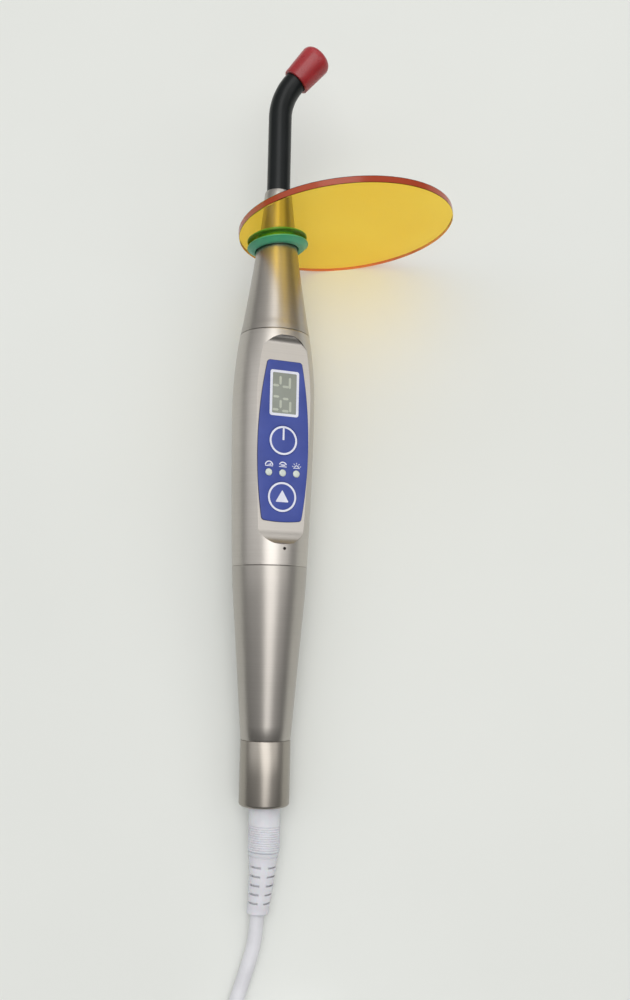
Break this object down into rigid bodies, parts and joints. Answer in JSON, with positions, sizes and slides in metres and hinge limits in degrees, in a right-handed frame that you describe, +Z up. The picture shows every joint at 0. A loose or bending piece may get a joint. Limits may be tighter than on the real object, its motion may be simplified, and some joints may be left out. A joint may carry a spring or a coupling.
{
  "type": "curing light",
  "caption": "Corded dental curing light with a turned metal wand, flat keypad and display, swivelling light guide, round amber eye shield, cable boot and barrel plug.",
  "frame": {"origin": "on the table under the middle of the wand's outline, guide to cable boot, without the cord", "axes": "+Z up from the table, +Y along the wand towards the light guide's tip, +X towards the side to which the eye shield stands"},
  "size_m": [0.1257, 0.3911, 0.0715],
  "materials": {
    "satin_metal": "satin, finely turned",
    "keypad_blue": "satin membrane",
    "key_blue": "satin membrane",
    "display_window": "gloss tinted window",
    "display_module": "moulded",
    "lamp_lens": "frosted",
    "circuit_board": "solder mask",
    "black_plastic": "moulded",
    "led_chip": "gloss",
    "steel_screw": "bright",
    "wire_insulation": "extruded",
    "heat_sink_metal": "machined",
    "clear_lens": "polished",
    "seal_rubber": "matte",
    "white_plastic": "moulded",
    "boot_white": "matte",
    "cord_white": "satin",
    "coil_tie": "woven loop strap",
    "plug_plastic": "moulded",
    "guide_black": "satin sheath",
    "cap_red": "satin",
    "grommet_green": "satin",
    "shield_amber": "gloss tinted acrylic"
  },
  "bodies": {
    "root": {"tail_cap": "satin_metal", "rear_sleeve": "satin_metal", "main_body": "satin_metal", "nose_cone": "satin_metal", "panel_overlay": "keypad_blue", "display_window": "display_window", "display_module": "display_module", "indicator_lenses": "lamp_lens", "control_board": "circuit_board", "tact_switches": "black_plastic", "indicator_leds": "led_chip", "buzzer": "black_plastic", "board_carrier": "black_plastic", "carrier_screws": "steel_screw", "driver_board": "circuit_board", "driver_parts": "black_plastic", "supply_wires": "wire_insulation", "lamp_wires": "wire_insulation", "heat_sink": "heat_sink_metal", "led_board": "circuit_board", "led_emitter": "led_chip", "collimator_lens": "clear_lens", "lens_holder": "black_plastic", "seam_o_rings": "seal_rubber", "cable_clamp": "white_plastic", "clamp_screws": "steel_screw", "cable_boot": "boot_white", "inner_cable": "cord_white", "cord_tube": "cord_white", "cord_tail": "cord_white", "cord_coil": "cord_white", "coil_ties": "coil_tie", "plug_relief": "boot_white", "plug_body": "plug_plastic", "plug_barrel": "steel_screw", "plug_insulator": "black_plastic", "plug_contact": "steel_screw"},
    "swivel": {"swivel_ring": "steel_screw"},
    "light_guide": {"guide_sheath": "guide_black", "guide_core": "clear_lens", "guide_ferrule": "steel_screw", "guide_o_rings": "seal_rubber"},
    "cap": {"tip_cap": "cap_red"},
    "grommet": {"shield_grommet": "grommet_green"},
    "shield": {"shield_plate": "shield_amber"},
    "power_button": {"power_key": "key_blue"},
    "mode_button": {"mode_key": "key_blue"}
  },
  "joints": [
    {"name": "guide_spin", "type": "hinge", "parent": "root", "child": "swivel", "pos_m": [-0.02261, 0.06916, 0.02862], "axis": [0, -0.9935, -0.114], "continuous": true},
    {"name": "guide_pull", "type": "slide", "parent": "swivel", "child": "light_guide", "axis": [0, 0.9935, 0.114], "range_m": [0, 0.026]},
    {"name": "cap_pull", "type": "slide", "parent": "light_guide", "child": "cap", "axis": [0.6396, 0.7637, 0.0876], "range_m": [0, 0.015]},
    {"name": "grommet_slide", "type": "slide", "parent": "root", "child": "grommet", "axis": [0, 0.9935, 0.114], "range_m": [0, 0.018]},
    {"name": "shield_spin", "type": "hinge", "parent": "grommet", "child": "shield", "pos_m": [-0.02261, 0.07422, 0.0292], "axis": [0.1115, -0.9873, -0.1133], "continuous": true},
    {"name": "power_press", "type": "slide", "parent": "root", "child": "power_button", "axis": [-0.3795, 0.1055, -0.9192], "range_m": [0, 0.0003], "stiffness_N_per_m": 2500, "springref_m": -0.0003},
    {"name": "mode_press", "type": "slide", "parent": "root", "child": "mode_button", "axis": [-0.3795, 0.1055, -0.9192], "range_m": [0, 0.0003], "stiffness_N_per_m": 2500, "springref_m": -0.0003}
  ]
}
